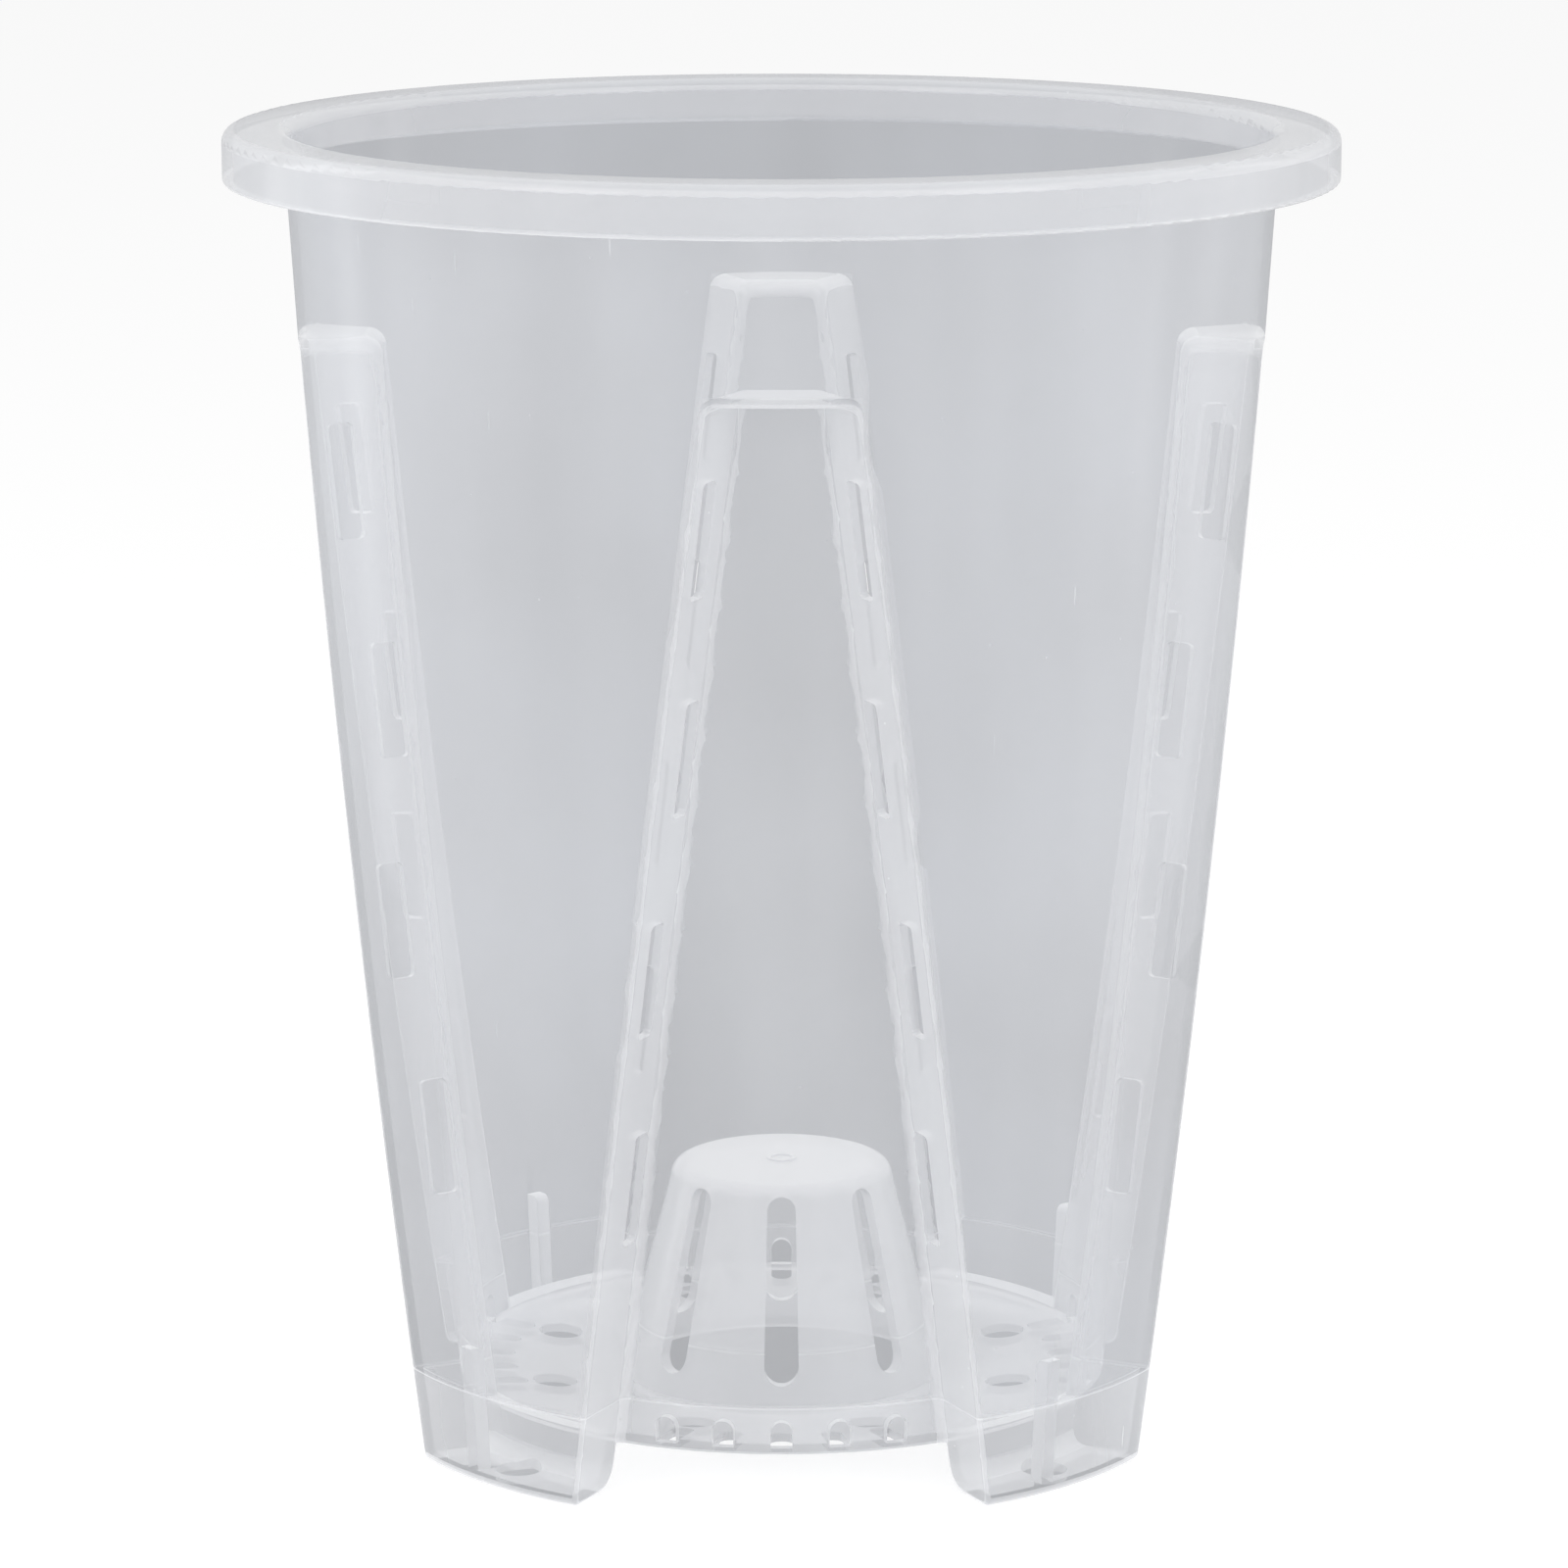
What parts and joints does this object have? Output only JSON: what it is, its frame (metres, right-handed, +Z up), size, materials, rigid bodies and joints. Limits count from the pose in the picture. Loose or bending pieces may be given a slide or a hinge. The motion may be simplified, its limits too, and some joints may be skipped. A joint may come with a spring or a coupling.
{
  "type": "orchid pot",
  "caption": "Round tapered pot of clear plastic for orchids, with tapering slotted air channels let into its wall, a flanged rim, feet and a slotted cone standing in the raised floor.",
  "frame": {"origin": "middle of the circle that the feet stand on, at ground level", "axes": "+Z up the pot's axis; one air channel faces -Y, the next +X"},
  "size_m": [0.14, 0.14, 0.1665],
  "materials": {
    "clear_plastic": "clear injection-moulded polypropylene, gloss, faintly milky"
  },
  "bodies": {
    "root": {"rim": "clear_plastic", "upper_wall": "clear_plastic", "base_floor": "clear_plastic", "root_cone": "clear_plastic", "air_channel_front": "clear_plastic", "drain_band_front": "clear_plastic", "air_channel_right": "clear_plastic", "drain_band_right": "clear_plastic", "air_channel_back": "clear_plastic", "drain_band_back": "clear_plastic", "air_channel_left": "clear_plastic", "drain_band_left": "clear_plastic", "wall_panel_front_right": "clear_plastic", "foot_front_right": "clear_plastic", "stacking_rib_front_right": "clear_plastic", "wall_panel_back_right": "clear_plastic", "foot_back_right": "clear_plastic", "stacking_rib_back_right": "clear_plastic", "wall_panel_back_left": "clear_plastic", "foot_back_left": "clear_plastic", "stacking_rib_back_left": "clear_plastic", "wall_panel_front_left": "clear_plastic", "foot_front_left": "clear_plastic", "stacking_rib_front_left": "clear_plastic"}
  },
  "joints": []
}
